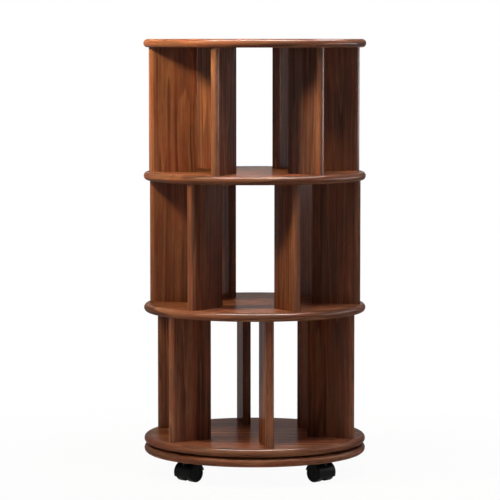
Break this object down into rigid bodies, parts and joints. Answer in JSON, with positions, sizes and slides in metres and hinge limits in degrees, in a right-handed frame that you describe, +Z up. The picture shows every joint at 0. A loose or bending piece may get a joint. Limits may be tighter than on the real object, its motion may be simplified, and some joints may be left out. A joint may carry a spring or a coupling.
{
  "type": "revolving bookcase",
  "caption": "Tall round revolving bookcase: tiers of upright radial dividers between round shelves, turning on a base board with castors.",
  "frame": {"origin": "on the floor under the middle of the bookcase, on the axis that it turns on", "axes": "+Z up along the turning axis; the front faces -Y, as pictured; +X to the viewer's right"},
  "size_m": [0.5, 0.4998, 0.978],
  "materials": {
    "walnut": "walnut veneer on board, satin lacquer",
    "beech": "bare turned beech",
    "steel": "zinc-plated steel",
    "aluminium": "bright extruded and turned aluminium",
    "nylon": "natural nylon",
    "black_plastic": "moulded black nylon, satin",
    "black_metal": "black powder coat on pressed steel"
  },
  "bodies": {
    "base": {"base_board": "walnut", "bearing_inner_ring": "aluminium", "inner_ring_screws": "steel", "castor_plate_screws": "steel", "front_left_castor_plate": "black_metal", "front_right_castor_plate": "black_metal", "rear_right_castor_plate": "black_metal", "rear_left_castor_plate": "black_metal"},
    "carousel": {"bottom_shelf": "walnut", "lower_shelf": "walnut", "upper_shelf": "walnut", "top_shelf": "walnut", "bottom_divider_1": "walnut", "bottom_divider_2": "walnut", "bottom_divider_3": "walnut", "bottom_divider_4": "walnut", "bottom_divider_5": "walnut", "bottom_divider_6": "walnut", "middle_divider_1": "walnut", "middle_divider_2": "walnut", "middle_divider_3": "walnut", "middle_divider_4": "walnut", "middle_divider_5": "walnut", "middle_divider_6": "walnut", "top_divider_1": "walnut", "top_divider_2": "walnut", "top_divider_3": "walnut", "top_divider_4": "walnut", "top_divider_5": "walnut", "top_divider_6": "walnut", "bottom_tier_dowels": "beech", "middle_tier_dowels": "beech", "top_tier_dowels": "beech", "bottom_shelf_screws": "steel", "lower_shelf_screws": "steel", "upper_shelf_screws": "steel", "top_shelf_screws": "steel", "lower_shelf_plugs": "walnut", "upper_shelf_plugs": "walnut", "top_shelf_plugs": "walnut", "bearing_outer_ring": "aluminium", "outer_ring_screws": "steel"},
    "ball_set": {"ball_cage": "nylon", "bearing_balls": "steel"},
    "front_left_castor": {"front_left_castor_hood": "black_plastic", "front_left_castor_axle": "steel"},
    "front_left_wheel_1": {"front_left_castor_wheel_1": "black_plastic"},
    "front_left_wheel_2": {"front_left_castor_wheel_2": "black_plastic"},
    "front_right_castor": {"front_right_castor_hood": "black_plastic", "front_right_castor_axle": "steel"},
    "front_right_wheel_1": {"front_right_castor_wheel_1": "black_plastic"},
    "front_right_wheel_2": {"front_right_castor_wheel_2": "black_plastic"},
    "rear_right_castor": {"rear_right_castor_hood": "black_plastic", "rear_right_castor_axle": "steel"},
    "rear_right_wheel_1": {"rear_right_castor_wheel_1": "black_plastic"},
    "rear_right_wheel_2": {"rear_right_castor_wheel_2": "black_plastic"},
    "rear_left_castor": {"rear_left_castor_hood": "black_plastic", "rear_left_castor_axle": "steel"},
    "rear_left_wheel_1": {"rear_left_castor_wheel_1": "black_plastic"},
    "rear_left_wheel_2": {"rear_left_castor_wheel_2": "black_plastic"}
  },
  "joints": [
    {"name": "carousel_spin", "type": "hinge", "parent": "base", "child": "carousel", "pos_m": [0, 0, 0.0665], "axis": [0, 0, 1], "continuous": true},
    {"name": "ball_set_orbit", "type": "hinge", "parent": "base", "child": "ball_set", "pos_m": [0, 0, 0.0695], "axis": [0, 0, 1], "continuous": true},
    {"name": "front_left_castor_swivel", "type": "hinge", "parent": "base", "child": "front_left_castor", "pos_m": [-0.15203, -0.15203, 0.044], "axis": [0, 0, 1], "continuous": true},
    {"name": "front_left_wheel_1_spin", "type": "hinge", "parent": "front_left_castor", "child": "front_left_wheel_1", "pos_m": [-0.14566, -0.14566, 0.02], "axis": [0.7071, -0.7071, 0], "continuous": true},
    {"name": "front_left_wheel_2_spin", "type": "hinge", "parent": "front_left_castor", "child": "front_left_wheel_2", "pos_m": [-0.14566, -0.14566, 0.02], "axis": [0.7071, -0.7071, 0], "continuous": true},
    {"name": "front_right_castor_swivel", "type": "hinge", "parent": "base", "child": "front_right_castor", "pos_m": [0.15203, -0.15203, 0.044], "axis": [0, 0, 1], "continuous": true},
    {"name": "front_right_wheel_1_spin", "type": "hinge", "parent": "front_right_castor", "child": "front_right_wheel_1", "pos_m": [0.14566, -0.14566, 0.02], "axis": [0.7071, 0.7071, 0], "continuous": true},
    {"name": "front_right_wheel_2_spin", "type": "hinge", "parent": "front_right_castor", "child": "front_right_wheel_2", "pos_m": [0.14566, -0.14566, 0.02], "axis": [0.7071, 0.7071, 0], "continuous": true},
    {"name": "rear_right_castor_swivel", "type": "hinge", "parent": "base", "child": "rear_right_castor", "pos_m": [0.15203, 0.15203, 0.044], "axis": [0, 0, 1], "continuous": true},
    {"name": "rear_right_wheel_1_spin", "type": "hinge", "parent": "rear_right_castor", "child": "rear_right_wheel_1", "pos_m": [0.14566, 0.14566, 0.02], "axis": [-0.7071, 0.7071, 0], "continuous": true},
    {"name": "rear_right_wheel_2_spin", "type": "hinge", "parent": "rear_right_castor", "child": "rear_right_wheel_2", "pos_m": [0.14566, 0.14566, 0.02], "axis": [-0.7071, 0.7071, 0], "continuous": true},
    {"name": "rear_left_castor_swivel", "type": "hinge", "parent": "base", "child": "rear_left_castor", "pos_m": [-0.15203, 0.15203, 0.044], "axis": [0, 0, 1], "continuous": true},
    {"name": "rear_left_wheel_1_spin", "type": "hinge", "parent": "rear_left_castor", "child": "rear_left_wheel_1", "pos_m": [-0.14566, 0.14566, 0.02], "axis": [-0.7071, -0.7071, 0], "continuous": true},
    {"name": "rear_left_wheel_2_spin", "type": "hinge", "parent": "rear_left_castor", "child": "rear_left_wheel_2", "pos_m": [-0.14566, 0.14566, 0.02], "axis": [-0.7071, -0.7071, 0], "continuous": true}
  ],
  "couplings": [
    {"joint": "ball_set_orbit", "follows": "carousel_spin", "ratio": 0.5089}
  ]
}
